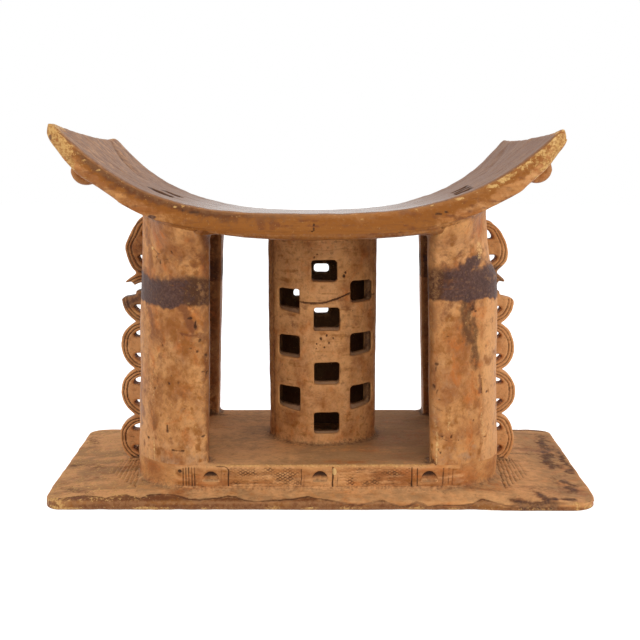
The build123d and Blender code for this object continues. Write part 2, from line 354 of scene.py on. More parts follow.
# the seat's uneven edges and its tips, the left one a thick nose (x, y and z are from before the wear)
onSeat = z > under - 3
u = seatBlend(points)
bow = u * along(x, strayForm["back"]) * ramp(z - under, 0, 12) + (1 - u) * along(x, strayForm["front"])
thinLeft = np.exp(-((x + 192) / 22) ** 2) * fade(z - under, 2, 12) * (reach > 90)
nose = ramp(-x, 204, 230) * fade(z - under, 2, 13) * ramp(-y, 20, 110) * onSeat
raised = tipForm["leftUp"] * tipRound * (x < 0)
points[:, 2] += onSeat * (bow + thinLeft + raised) - tipForm["noseDown"] * nose
points[:, 0] += onSeat * np.where(x < 0, *tipForm["out"]) * tipRound - tipForm["noseOut"] * nose
onFin = (reach < 11) & (np.abs(x) > 178) & (z < under - 1)
out, up = finStray(points)
points[:, 0] += onFin * out
points[:, 2] += onFin * up
# the plate's front corners are rounder than its back ones
r = blockForm["cornerRound"]
for hand in (-1, 1):
    cx, cy = hand * (blockForm["plateHalf"] - r), r - blockForm["plateDepth"]
    dx, dy = points[:, 0] - cx, points[:, 1] - cy
    span = np.hypot(dx, dy)
    beyond = (hand * dx > 0) & (dy < 0) & (span > r) & (points[:, 2] < 14)
    pull = np.where(beyond, r / np.maximum(span, 1), 1)
    points[:, 0] = cx + dx * pull
    points[:, 1] = cy + dy * pull
# plate: worn upper edge; step: softened rim; fins: rounded holes
plateEdge = (z < 11) & ((np.abs(x) > 268) | (reach > 120)) & (z > 1)
stepEdge = (np.abs(z - blockForm["stepTop"]) < 5) & (np.abs(x) < 200)
finEdge = (reach < 11) & (np.abs(x) > 150) & (z > 20) & (z < under - 2)
for mask, rounds in ((plateEdge, 7), (stepEdge, 4), (finEdge, 2)):
    points = relax(points, edges, mask * 1.0, rounds)
print("edges worn")

# uneven surface left by the adze and by use
setPoints(mesh, points)
normals = getNormals(mesh)
bulk = sum(deep * lattice(points, cell, seed) for deep, cell, seed in uneven)
postAdze = 0.3 * lattice(points, (7, 7, 60), 4) * postArea
seatAdze = 0.25 * lattice(points, (60, 12, 9), 5) * (z > under - 4)
isFine = (reach < 11) & (np.abs(x) > 150) & (z < under)
amount = (bulk + postAdze + seatAdze) * np.where(isFine, 0.5, 1.0)
points = points + normals * amount[:, None]

# the hollowed sitting face: a groove inside the rounded back rim
x, y, z = points.T
top = seatTop(points)
sitting = beside(z - top, 3, 6) * (normals[:, 2] > 0.3)
away = np.abs(x - seatForm["middle"])
valley = along(away, seatForm["valley"])
groove = np.exp(-((y - valley) / 15) ** 2) * ramp(away, 165, 205) * fade(away, 214, 230)
dish = beside(y, 96, 126) * ramp(away, 20, 120)
points[:, 2] -= sitting * (blockForm["groove"] * groove + blockForm["dish"] * dish)
cadLow, cadHigh = np.array(cadBox) * 1000
points = np.clip(points, cadLow, cadHigh)
setPoints(mesh, points)

# how far each point stands out of or lies under its surroundings, for wear, and for grime with painted shade
# in the hollows
normals = getNormals(mesh)
small = np.einsum("ij,ij->i", points - relax(points, edges, None, 6), normals)
wide = np.einsum("ij,ij->i", points - relax(points, edges, None, 40), normals)
wear = np.clip(small / 0.45, 0, 1) * 0.6 + np.clip(wide / 1.6, 0, 1) * 0.4
grime = np.clip(-small / 0.4, 0, 1) * 0.6 + np.clip(-wide / 1.4, 0, 1) * 0.5
for name, values in (("wear", wear), ("grime", grime)):
    mesh.attributes.new(name, "FLOAT", "POINT").data.foreach_set("value", values.astype(np.float32))
flow = mesh.attributes.new("flow", "FLOAT_VECTOR", "POINT")
flow.data.foreach_set("vector", normals.astype(np.float32).ravel())
print("block carved")

# cut into members
for name in names:
    mesh.materials.append(bpy.data.materials.new("cut_" + name))
mesh.polygons.foreach_set("material_index", label.astype(np.int32))
bpy.ops.object.select_all(action="DESELECT")
bpy.context.view_layer.objects.active = log
log.select_set(True)
bpy.ops.mesh.separate(type="MATERIAL")
pieces = {}
for ob in list(bpy.context.selected_objects):
    member = ob.data.materials[ob.data.polygons[0].material_index].name.removeprefix("cut_")
    ob.data.materials.clear()
    ob.name = "wood_" + member
    ob.data.name = ob.name
    pieces[member] = ob
print("members cut:", len(pieces))

# areas where the knife worked finely get a finer mesh: low corner, high corner, cuts
zones = {
    "base_step": [((-146, -112, 17), (146, -104, 40), 2), ((-146, 104, 17), (146, 112, 40), 2)],
    "end_fin_left": [((-235, -14, 12), (-170, 14, 300), 1)],
    "end_fin_right": [((165, -14, 12), (235, 14, 300), 1)],
    "post_front_left": [((-190, -112, 24), (-105, -84, 262), 1)],
    "post_front_right": [((105, -112, 24), (190, -84, 262), 1)],
    "center_column": [((-60, -48, 44), (66, -22, 266), 1)],
}


def refine(mesh, areas):
    bm = bmesh.new()
    bm.from_mesh(mesh)
    for low, high, cuts in areas:
        chosen = [e for e in bm.edges
                  if all(low[k] < v.co[k] * 1000 < high[k] for v in e.verts for k in range(3))]
        bmesh.ops.subdivide_edges(bm, edges=chosen, cuts=cuts, use_grid_fill=True)
    bm.to_mesh(mesh)
    bm.free()


for name, areas in zones.items():
    refine(pieces[name].data, areas)
print("fine zones meshed")


def lineDistance(u, v, path):
    # distance in a plane from each point to a line of joined runs
    best = np.full(len(u), 1e9)
    for (ua, va), (ub, vb) in zip(path[:-1], path[1:]):
        du, dv = ub - ua, vb - va
        t = np.clip(((u - ua) * du + (v - va) * dv) / max(du * du + dv * dv, 1e-9), 0, 1)
        best = np.minimum(best, np.hypot(u - ua - t * du, v - va - t * dv))
    return best


def line(u, v, path, width):
    return fade(lineDistance(u, v, path), 0.25 * width, 0.6 * width)


def cutLines(u, v, marks):
    # the deepest of several knife cuts, each (points, width, depth)
    return np.max([deep * line(u, v, path, width) for path, width, deep in marks], axis=0)


def patch(u, v, centre, size):
    return fade(np.hypot((u - centre[0]) / size[0], (v - centre[1]) / size[1]), 0.55, 1.25)


# the carving on the platform's face, in x and z: uprights as (x, low, high, width, depth), comb as
# (x, low, high), the curved top of a frame, the hatched panels and three sunk half moons
frieze = {
    "face": 109, "low": 18.5, "high": 38.8,
    "uprights": [(-99.6, 20, 37, 1.2, 0.5), (-92.4, 19, 36, 1.5, 1.0), (-19.1, 20, 36, 1.2, 0.7),
                 (-16.1, 19, 30, 1.0, 0.5), (12.6, 18.5, 38, 1.7, 1.4), (17.6, 19, 33, 1.0, 0.5),
                 (92.1, 19, 38, 1.5, 1.0), (97.6, 19, 37, 1.3, 0.8), (123.8, 19, 37, 1.3, 0.8),
                 (129.3, 20, 37, 1.1, 0.6), (133.4, 20, 36, 1.1, 0.6)],
    "comb": [(-138, 19, 37), (-135.2, 19, 37.5), (-132.2, 19, 38), (-129.1, 19, 38), (-126.3, 19, 38)],
    "arch": [(-92.4, 35.5), (-93.4, 37.6), (-96.2, 38.9), (-104, 39.2)],
    "panels": [(-90.5, -20.5), (19.5, 90.5)],
    "moons": (-110, 0, 110), "moonFoot": 23.5, "moonSize": (8.7, 10.7),
    "levels": (21.3, 24.4, 27.2, 30.4, 33.3, 36.1),
    "hatch": {"pitch": 3.1, "slope": 0.62, "width": 1.2, "depth": 0.75},
}


def carveStep(p):
    x, y, z = p.T
    f, h = frieze, frieze["hatch"]
    front = np.abs(np.abs(y) - f["face"]) < 4
    side = np.sign(y)
    u = -x * side                                    # the back repeats the front, turned round
    depth = np.zeros(len(p))
    wob = 0.5 * lattice(p, 6, 31)
    for at, low, high, width, deep in f["uprights"]:
        depth = np.maximum(depth, deep * line(u + wob * 0.6, z, [(at, low), (at + 0.4, high)], width))
    for at, low, high in f["comb"]:
        depth = np.maximum(depth, 0.8 * line(u + wob * 0.4, z, [(at, low), (at, high)], 1.2))
    depth = np.maximum(depth, 0.9 * line(u, z, f["arch"], 1.4))
    worn = np.clip(0.68 + 0.7 * lattice(p, (9, 9, 5), 32), 0.2, 1)
    dash = np.clip(lattice(p, (5, 5, 3), 33) * 3, 0, 1)
    for a, b in f["panels"]:
        inside = (u > a) & (u < b) & (z > f["low"] + 1.5) & (z < f["high"] - 1)
        for slope in (h["slope"], -h["slope"]):
            phase = (z + slope * u + wob) / h["pitch"]
            gap = np.abs(phase - np.round(phase)) * h["pitch"] / math.hypot(1, slope)
            cut = h["depth"] * fade(gap, 0.2, h["width"] / 2 + 0.15)
            depth = np.maximum(depth, inside * worn * cut)
        for level in f["levels"]:
            depth = np.maximum(depth, inside * dash * 0.6 * beside(z + wob - level, 0.2, 0.9))
    for level, deep in ((f["low"], 0.5), (f["high"] + 0.4, 0.35)):
        edge = beside(z + 0.6 * wob - level, 0.2, 0.8)
        depth = np.maximum(depth, (np.abs(u) < 143) * deep * edge)
    depth = np.maximum(depth, 1.3 * patch(u, z, (-141.3, 33.8), (2.2, 1.8)))
    depth *= front
    p[:, 1] -= side * depth
    # the moons: sunk at the top, rising to the face at their foot
    behind = (np.abs(y) < f["face"] - 0.6) & (np.abs(y) > 100)
    for middle in f["moons"]:
        rise = np.clip((z - f["moonFoot"]) / 10, 0, 1)
        within = (np.abs(u - middle) < 9.5) & (z > 22.6) & (z < 35) & behind
        p[:, 1] += within * side * (f["face"] - np.abs(y)) * 0.78 * (1 - rise)
    return depth


finForm = {"foot": 40.5, "radius": 28.5, "pitch": 53, "first": 39, "lobes": 5, "rings": (3.2, 6.6),
           "cut": 1.0, "web": (17, 7.5), "reach": {-1: 193.9, 1: 190.1}, "lean": {-1: 3.5, 1: 3.6}}


def lobeCentres(hand):
    lean = math.tan(math.radians(finForm["lean"][hand]))
    for lobe in range(finForm["lobes"]):
        level = finForm["first"] + lobe * finForm["pitch"]
        yield hand * (finForm["reach"][hand] - (level - finForm["foot"]) * lean), level


def carveFin(p, n):
    hand = 1 if p[:, 0].mean() > 0 else -1
    depth = np.zeros(len(p))
    wob = 0.5 * lattice(p, 7, 41)
    out, up = finStray(p)
    x, z = p[:, 0] - out, p[:, 2] - up
    wide, high = finForm["web"]
    patchy = spots(p, 4, 43, -0.3, 0.3)
    wavy = 1.6 * lattice(p, 9, 42)
    for cx, cz in lobeCentres(hand):
        r = np.hypot(x - cx, z - cz) + wob
        for ring in finForm["rings"]:
            gap = np.abs(r - finForm["radius"] + ring)
            depth = np.maximum(depth, finForm["cut"] * fade(gap, 0.3, 1.1))
        web = (np.abs(z - cz) < high) & (np.abs(x - cx) < wide)
        scratch = ramp(np.abs(np.sin((z - cz) * 2.1 + wavy)), 0.75, 1)
        depth = np.maximum(depth, web * 0.5 * scratch * patchy)
    depth *= ramp(np.abs(n[:, 1]), 0.5, 0.8)
    p[:, 1] -= np.sign(p[:, 1]) * depth
    return depth


# marks on the front posts and the column, in x and z: pits and holes as (x, z, radius), the rest as
# (points, width, depth)
postMarks = {
    "left": {
        "pits": [
            (-127.1, 159.8, 1.6), (-121, 157, 1.9), (-112.8, 152.7, 1.9), (-112.6, 134.1, 1.8),
            (-115.3, 136.3, 1.4), (-150.4, 123.1, 1.9), (-140.8, 125.1, 1.2), (-156.4, 161.5, 1.5),
            (-134.5, 98.6, 1.3), (-153.3, 80.2, 1.5), (-153.5, 74, 2.2), (-145.8, 75.2, 1.2),
            (-117.1, 70.1, 1.7), (-175.4, 62.8, 1.6), (-153.9, 33.9, 1.2), (-166.3, 117, 1.7),
            (-173.8, 113.9, 1.3), (-172.1, 41.5, 1.2), (-118, 168, 2.2), (-122.5, 183, 2.4),
            (-128, 190, 2.2), (-160.3, 249.3, 1.5), (-156.6, 243.4, 1.6), (-143.6, 255.1, 1.3)],
        "cuts": [
            ([(-148.6, 55.1), (-142, 54.6), (-136.5, 55.3)], 1.6, 1.2),
            ([(-153.3, 80.2), (-153.6, 73.5)], 1.8, 1.4),
            ([(-165, 258), (-158, 252), (-152, 255)], 1.3, 0.7),
            ([(-163, 249), (-156, 246), (-149, 247.5)], 1.2, 0.7),
            ([(-165, 50), (-163, 37), (-164, 22)], 1.4, 0.5),
            ([(-158, 62), (-157, 44), (-158, 24)], 1.2, 0.4),
            ([(-171, 66), (-169, 52), (-170, 30)], 1.2, 0.4)],
    },
    "right": {
        "pits": [
            (125.8, 171.9, 1.4), (115.4, 143.7, 2.0), (112.9, 121.5, 1.9), (131.7, 70.1, 1.9),
            (121.1, 70.7, 1.5), (110.1, 81.1, 1.6), (120.9, 53, 1.5), (113.9, 45.1, 1.6),
            (168.2, 64.5, 1.3), (169.3, 111.6, 1.5), (154.8, 84.2, 1.2), (163.3, 38.7, 1.2),
            (150.7, 197.4, 1.9), (154.7, 195.4, 1.6), (148.2, 182.5, 1.4), (116, 116, 1.6),
            (118.5, 108, 1.4), (139, 66, 1.5), (125.2, 264, 1.2)],
        "cuts": [
            ([(113, 101.6), (118, 97.5), (122, 96.6)], 1.1, 0.7), ([(125, 95.4), (131, 95.2)], 1.0, 0.5),
            ([(122, 68), (127, 66.2)], 1.2, 0.8), ([(131, 65.6), (137, 66.4)], 1.0, 0.6),
            ([(162, 126), (163, 119), (162.5, 112)], 1.5, 1.0), ([(115, 141), (114.5, 137)], 1.4, 0.9),
            ([(115, 88), (116.5, 81)], 1.1, 0.6), ([(118, 57), (121, 52)], 1.2, 0.8)],
    },
}


def carvePost(p, n, side, atFront):
    x, y, z = p.T
    marks = postMarks[side]
    depth = np.zeros(len(p))
    if atFront:
        ragged = 0.8 * lattice(p, 2.2, 51)
        for index, (cx, cz, r) in enumerate(marks["pits"]):
            # the pits take turns in how wide and how slanted they are
            wide = 0.55 + 0.25 * (index % 4)
            slant = 0.3 * (z - cz) * (index % 3 - 1)
            far = np.hypot((x - cx + slant) * wide, (z - cz) * (1.75 - wide))
            depth = np.maximum(depth, 0.7 * r * fade(far + ragged, 0.2 * r, 1.1 * r))
        depth = np.maximum(depth, cutLines(x, z, marks["cuts"]))
        depth *= ramp(-n[:, 1], 0.2, 0.5) * (y < -60)
    else:
        speck = spots(p, (6, 6, 7), 52 if side == "left" else 53, 0.78, 0.95)
        depth = 1.2 * speck * ramp(n[:, 1], 0.2, 0.5)
    p += -n * depth[:, None] * 0.2
    p[:, 1] += (depth * 0.8) * (1 if atFront else -1)
    return depth


columnMarks = {
    "crack": [
        ([(-22, 196), (-14, 194.6), (-2, 194.4), (6, 195.5), (16, 198.8), (25, 202), (31, 204)], 1.9, 2.2),
        ([(54, 201), (58, 200.4), (61, 201)], 1.8, 1.6),
        ([(-13, 252), (4, 250.5), (26, 252.5), (40, 250)], 1.3, 0.5),
        ([(26, 77), (38, 80.5), (47, 79)], 1.2, 0.5), ([(36, 180), (44, 178.5), (52, 180)], 1.3, 0.6),
        ([(-40, 178), (-30, 181), (-24, 177)], 1.3, 0.5)],
    "holes": [
        (1, 156.5, 1.7), (7, 160, 1.5), (9.5, 152, 1.2), (-3.5, 151, 1.2), (4.5, 147.5, 1.2),
        (14, 157, 1.2), (-4, 146, 1.0), (0, 150, 1.0), (25, 223, 1.9), (26.5, 226.5, 1.5), (-6, 243, 1.2),
        (-3, 246, 1.0)],
}


# the openings at the front of the column: (middle, half width, lower edge, wear of the sill, its tilt)
windows = [
    (7, 13.2, 55.5, 1.8, 0), (7, 13.2, 110.4, 2.8, 0), (7, 13.2, 169.2, 3.6, 0), (7, 13.2, 219.6, 1.2, 0),
    (-31.5, 10, 82.7, 4.2, 0.5), (-31.5, 10, 138.6, 2.6, 0.2), (-31.5, 10, 189, 4.2, 0.5),
    (41.7, 10, 83.5, 4.2, -0.5), (41.7, 10, 140.5, 2.6, -0.3), (41.7, 10, 196.6, 1, 0)]


def carveColumn(p, n):
    x, y, z = p.T
    outer = ramp(columnRing(p), 0.84, 0.97) * (y < 8)
    drop = np.zeros(len(p))
    for middle, half, low, worn, tilt in windows:
        level = np.clip(np.minimum((z - low + 8) / 8, (low + 9 - z) / 9), 0, 1)
        level *= beside(x - middle, half + 0.5, half + 4)
        drop += worn * level * (1 + tilt * np.clip((x - middle) / half, -1, 1))
    # the topmost opening sits a little to the left, and one of those behind is partly stopped
    shifted = (y < 8) * beside(z - 229, 10, 16) * beside(x - 7, 14, 22)
    plug = 3.4 * np.exp(-((x - 17) / 5) ** 2) * (y > 30) * beside(z - 153, 10, 15)
    p[:, 2] -= outer * drop
    p[:, 0] += plug - 2.8 * shifted
    depth = cutLines(x, z + 0.5 * lattice(p, 5, 61), columnMarks["crack"])
    for cx, cz, r in columnMarks["holes"]:
        depth = np.maximum(depth, 1.2 * r * fade(np.hypot(x - cx, (z - cz) * 0.8), 0.3 * r, 1.1 * r))
    depth *= (y < 0) * ramp(-n[:, 1], 0.1, 0.4)
    p[:, 1] += depth
    # a groove runs down the left flank
    flank = fade(np.hypot(x + 53.5, y + 9), 1.5, 5) * (z > 42) * (z < 262)
    p[:, 0] += 0.8 * flank
    return depth


# cuts across the sitting face, in x and y: (middle, half size, depth)
seatSlots = [((-162, -51), (11, 11), 2.4), ((-157, -7), (9, 12), 2.4), ((142, -76), (8, 11), 2.6),
             ((145, -46), (8, 11), 2.6), ((147, -14), (8, 11), 2.4)]
seatLines = [
    ([(-203, -60), (-178, -54)], 5, 0.5),
    ([(-240, 84), (-234, 69), (-218, 44), (-203, 27), (-190, 20)], 5, 0.7)]
seatMarks = [
    ([(-5.6, 284), (-5, 281), (-5.8, 278.5), (-7.2, 276.8)], 1.5, 1.3),
    ([(-129, 296), (-121, 295.5), (-114, 294.5)], 1.8, 0.9),
    ([(108, 293), (117, 294.5), (121, 296)], 1.6, 0.9)]


def slotShape(x, y, slot, more=0):
    # 1 inside a cut with upright walls
    (mx, my), (hx, hy), _ = slot
    u, v = np.abs(x - mx - 0.08 * (y - my)) - hx - more, np.abs(y - my) - hy - more
    return fade(u, -2, 1) * fade(v, -2, 1)


def carveSeat(p, n):
    x, y, z = p.T
    depth = cutLines(x, z, seatMarks) * (y < -120)
    p[:, 1] += depth
    sunk = cutLines(x, y, seatLines)
    for slot in seatSlots:
        sunk = np.maximum(sunk, slot[2] * slotShape(x, y, slot))
    sunk *= ramp(n[:, 2], 0.4, 0.7)
    p[:, 2] -= sunk
    return depth + 0.5 * sunk


def carvePlate(p, n):
    # fanned knife strokes beside the platform, on both ends
    x, y, z = p.T
    depth = np.zeros(len(p))
    up = ramp(n[:, 2], 0.7, 0.9) * (z > 7)
    u = np.abs(x)
    for k in range(7):
        stroke = [(197 + 3.4 * k, 10 - 3 * k), (189 + 5.2 * k, -98 + 7 * k)]
        for v, deep in ((y, 1.1), (-y, 0.9)):
            depth = np.maximum(depth, (deep - 0.08 * k) * line(u, v, stroke, 2.1))
    p[:, 2] -= depth * up
    return depth * up


masks = ("dark", "dust", "skin", "amber", "gold", "stain", "burn", "pale", "polish")


def store(mesh, name, values):
    layer = mesh.attributes.get(name) or mesh.attributes.new(name, "FLOAT", "POINT")
    layer.data.foreach_set("value", np.clip(values, 0, 1).astype(np.float32))


def read(mesh, name):
    return fetch(mesh.attributes[name].data, "value", np.float32).astype(float)


def lay(m, kind, value):
    # what is already there stays where it is stronger
    m[kind] = np.maximum(m[kind], value)


def warped(p, seed, far):
    # the same points pushed about a little, so that what is painted with them has no clean outline
    q = p.copy()
    for k in (0, 2):
        q[:, k] += far * layered(p, 10, 3.5, 0.4, seed + k)
    return q


def smear(q, path, width, strength, fleck, axes=(0, 2)):
    reach = lineDistance(q[:, axes[0]], q[:, axes[1]], path) / width + 0.35 * fleck
    return strength * fade(reach, 0.1, 1.05)


# what has soaked into the faces of the front posts, and two painted highlights, in x and z: (path, width,
# strength)
postPaint = {
    "left": {
        "burn": [
            ([(-135, 204), (-131, 190), (-125, 180)], 7, 0.95),
            ([(-137, 173), (-126, 174), (-116, 171)], 3.5, 1), ([(-127, 188), (-125, 176)], 5, 0.8),
            ([(-171, 200), (-166, 178), (-158, 164)], 10, 0.45), ([(-124, 290), (-119, 238)], 8, 0.4),
            ([(-150, 112), (-128, 108)], 9, 0.3), ([(-153, 36), (-140, 37)], 3, 0.5)],
        "amber": [
            ([(-147, 196), (-140, 186)], 8, 0.5), ([(-150, 128), (-128, 122)], 10, 0.5),
            ([(-140, 86), (-136, 50)], 14, 0.4), ([(-138, 240), (-122, 236)], 7, 0.45)],
        # the first pale mark is a painted highlight
        "pale": [([(-166, 257.5), (-166, 256.5)], 2.2, 1), ([(-168, 142), (-168, 100)], 4, 0.3)],
        "dark": [([(-172, 100), (-168, 76)], 6, 0.35), ([(-166, 128), (-160, 116)], 7, 0.3)],
    },
    "right": {
        "dark": [
            ([(146, 206), (144, 188), (150, 168)], 10, 0.75),
            ([(152, 190), (155, 160), (156, 138)], 6, 0.7), ([(111, 52), (113, 42)], 5, 0.8)],
        "burn": [
            ([(134, 204), (122, 196), (116, 184)], 9, 0.6),
            ([(114.5, 146), (114, 134), (113, 120)], 3, 0.6), ([(162, 128), (162, 112)], 3.5, 0.9),
            ([(114, 74), (128, 70)], 4, 0.5), ([(122, 262), (118, 246)], 6, 0.35),
            ([(158, 100), (160, 70)], 5, 0.3)],
        "amber": [
            ([(130, 190), (124, 174)], 10, 0.6), ([(160, 250), (130, 250)], 10, 0.45),
            ([(142, 130), (140, 96)], 15, 0.4)],
        # the first pale mark is a painted highlight
        "pale": [([(156, 262), (158, 248)], 5, 0.45), ([(164, 60), (164, 100)], 4, 0.35)],
    },
}
# the dark band's heights, and how strong the haze round it, the amber above it and the mottling are, and how
# much of their dark, painted shade included, the back posts keep
postLook = {"left": {"band": (201, 231), "haze": 0.45, "above": 0.35, "mottle": 0.7, "back": 0.68},
            "right": {"band": (207, 240), "haze": 0.62, "above": 0.6, "mottle": 0.55, "back": 0.75}}


def paintPost(p, n, side, atFront, m):
    x, y, z = p.T
    look = postLook[side]
    low, high = look["band"]
    seed = 70 + (side == "right") * 4 + (not atFront) * 8
    fleck = lattice(p, (5, 5, 9), seed + 2)
    wave = 3.4 * lattice(p, (15, 15, 40), seed) + 1.6 * lattice(p, (4.5, 4.5, 6), seed + 1)
    band = ramp(z + wave, low - 3, low + 3) * fade(z + 1.2 * wave, high - 10, high + 6)
    brown = ramp(x + 6 * fleck, -143, -124) if side == "left" else fade(x + 6 * fleck, 116, 132)
    if atFront:
        q = warped(p, seed + 40, 2.6)
    if atFront and side == "right":
        band = np.maximum(band, smear(q, [(143, 236), (152, 243)], 11, 0.95, fleck))
    scratch = ramp(layered(p, (22, 22, 2.4), (6, 6, 2), 0.4, seed + 9), 0.35, 0.8)
    m["stain"] = band * (1 - 0.68 * brown) * (1 - 0.3 * scratch)
    haze = beside(z + 1.6 * wave - (low + high) / 2, 9, 32)
    haze *= ramp(lattice(p, (13, 13, 18), seed + 3) + 0.3, -0.4, 0.6)
    m["burn"] = np.maximum(look["haze"] * haze, 0.95 * band)
    m["dark"] = band * brown + 0.35 * band * spots(p, (24, 24, 4), seed + 11, 0.1, 0.7)
    above = beside(z + wave - high - 6, 4, 20)
    m["amber"] = look["above"] * above * spots(p, (14, 14, 10), seed + 4, -0.2, 0.7)
    if atFront:
        face = ramp(-n[:, 1], 0.0, 0.3) * (y < -60)
        for kind, marks in postPaint[side].items():
            for path, width, strength in marks:
                lay(m, kind, face * smear(q, path, width, strength, fleck))
    scrape = ramp(layered(p, (3, 3, 34), (1.8, 1.8, 22), 0.5, seed + 5), 0.45, 0.95)
    lay(m, "pale", 0.5 * scrape * fade(z, 60, 130))
    m["dust"] = 0.35 * fade(z + 8 * fleck, 44, 70)
    m["dust"] += 0.2 * spots(p, (20, 20, 50), seed + 7, 0.2, 0.8)
    mottle = layered(p, (9, 9, 12), (4, 4, 5), 0.6, seed + 12)
    lay(m, "amber", look["mottle"] * ramp(mottle, 0, 0.8))
    lay(m, "burn", 0.4 * ramp(-mottle, 0.35, 1.0))
    if side == "left":
        lay(m, "amber", 0.4 * ramp(z, 70, 110) * fade(z, 190, 205))
        # painted shade down the inner edge of the left post
        lay(m, "burn", 0.75 * ramp(x + 2 * fleck, -121, -111))
        lay(m, "dark", 0.3 * ramp(x + 2 * fleck, -123, -112))
        # the outer edge painted lighter, a painted highlight; also lighter towards the foot
        m["skin"] = 0.45 * fade(x, -176, -164) + 0.35 * fade(z + 9 * fleck, 60, 95)
    else:
        # painted shade down the inner edge of the right post
        lay(m, "dark", 0.5 * fade(x + 1.5 * fleck, 110, 115))
        # the outer edge and a patch near the top painted lighter, painted highlights
        m["skin"] = 0.9 * ramp(x, 158, 172) + 0.5 * beside(z - 255, 6, 24) * (1 - band)
    m["skin"] *= 1 - band
    # painted shade on the posts' inner sides
    hollow = (np.abs(x) < 152) & (np.abs(y) < 84)
    lay(m, "dark", 0.8 * hollow)
    if not atFront:
        m["dark"] *= look["back"]


def paintSeat(p, n, m):
    x, y, z = p.T
    top, under = seatTop(p), seatUnder(p)
    height = (z - under) / np.maximum(top - under, 4)
    end = np.abs(x - seatForm["middle"]) / seatForm["front"]
    facing = np.abs(n[:, 1])
    turned = 1 - np.where(y < 0, ramp(facing, 0.62, 0.85), ramp(facing, 0.86, 0.97))
    nose = ramp(end, 0.94, 0.98) * ramp(np.abs(y), 86, 104)
    sitting = turned * fade(top - z, 6, 9) * ramp(n[:, 2], 0.0, 0.25) * (1 - nose)
    faces = (1 - sitting) * np.maximum(ramp(np.abs(y), 114, 122), nose)
    slow = lattice(p, (44, 44, 14), 81)
    fleck = lattice(p, (6, 6, 3), 82)
    fine = lattice(p, (3.2, 3.2, 2), 87)
    streak = lattice(p, (34, 30, 2.6), 85)
    tip = ramp(end + 0.03 * fleck, 0.83, 0.97)
    rightSide = ramp(x, 110, 190)
    # the sitting face: dusty, polished in the middle
    m["dust"] = sitting * (1.1 + 0.2 * lattice(p, (80, 20, 80), 83))
    m["polish"] = sitting * fade(end, 0.3, 0.75) * (0.95 + 0.2 * lattice(p, (50, 12, 50), 91))
    # the long faces: amber above, rubbed skin below, burnt and gold towards the tips
    lower = ramp(end, 0.36, 0.7) * fade(height + 0.14 * slow + 0.1 * fleck, 0.32, 0.62)
    m["amber"] = faces * (1.05 - 0.8 * lower)
    rubbed = 0.72 * lower * ramp(fleck + slow, -0.6, 0.6) * (1 - 0.35 * (x < -60))
    m["skin"] = faces * (rubbed + 0.2 * ramp(streak, 0.3, 0.8)) + 0.3 * sitting * ramp(-x, 150, 225)
    leftTop = ramp(height + 0.12 * slow + 0.08 * fleck, 0.45, 0.8) * fade(x, -110, 60)
    burnt = 0.9 * leftTop * fade(end, 0.84, 0.95)
    drift = layered(p, (90, 14, 90), (20, 5, 20), 0.3, 89)
    m["burn"] = faces * np.maximum(burnt, 0.65 * ramp(streak + 0.6 * fleck, 0.2, 0.9))
    m["burn"] += 0.3 * sitting * ramp(drift, 0.0, 0.9)
    goldTip = tip * ramp(0.75 + 0.5 * fleck + 0.4 * fine, 0.1, 0.9)
    goldRim = ramp(fleck + 0.5 * fine + 0.9 * rightSide + 0.2 * end, 0.72, 1.15) * ramp(height, 0.55, 0.85)
    m["gold"] = faces * np.maximum(goldTip, goldRim)
    bright = fine + 0.4 * fleck + 0.55 * rightSide + 0.4 * tip - 0.25 * (x < -40)
    m["pale"] = faces * ramp(height, 0.4, 0.8) * ramp(bright, 0.92, 1.25) * 0.7
    m["dark"] = 0.95 * faces * tip * ramp(fine - 0.8 * fleck - 0.3 * rightSide, 0.1, 0.7)
    lay(m, "dark", 0.62 * faces * leftTop * fade(end, 0.86, 0.96))
    gaps = ramp(lattice(p, (14, 14, 5), 88) - 0.5 * rightSide + 0.3 * (x < -40), -0.25, 0.45)
    lay(m, "dark", faces * 0.75 * ramp(height + 0.03 * fleck, 0.78, 0.93) * gaps * (1 - tip))
    # painted shade along the cut lines and in the slots
    for route, width, deep in seatLines:
        lay(m, "dark", sitting * 0.5 * deep * line(x, y, route, 1.2 * width))
    for slot in seatSlots:
        lay(m, "dark", 0.95 * slotShape(x, y, slot, 1.5) * (n[:, 2] > 0.2) * (z > top - 8))
    m["stain"] = 0.5 * sitting * ramp(-y, 96, 128) * spots(p, (26, 9, 26), 86, 0.3, 0.8)
    chip = patch(x, z, (-157.6, 290.5), (4.5, 2.2)) + patch(x, z, (-250, 364), (1.8, 3))
    lay(m, "stain", faces * (y < 0) * chip)


def paintKeel(p, m):
    streak = layered(p, (34, 30, 2.6), (9, 9, 3), 0.4, 85)
    inner = beside(p[:, 0] + 3 * streak, 104, 128)
    m["amber"] = 0.45 + 0.55 * inner
    m["burn"] = (0.35 + 0.3 * ramp(streak, 0.0, 0.8)) * inner
    m["dark"] = 0.12 + 0.2 * spots(p, (20, 20, 4), 84, 0.2, 0.8)


def paintLug(p, n, m):
    m["amber"] = 0.75 + 0.3 * lattice(p, 9, 110)
    # burn spots, and painted shade on the faces that look down
    m["burn"] = 0.45 * spots(p, 7, 111, 0.1, 0.8) + 0.5 * fade(n[:, 2], -0.9, -0.1)


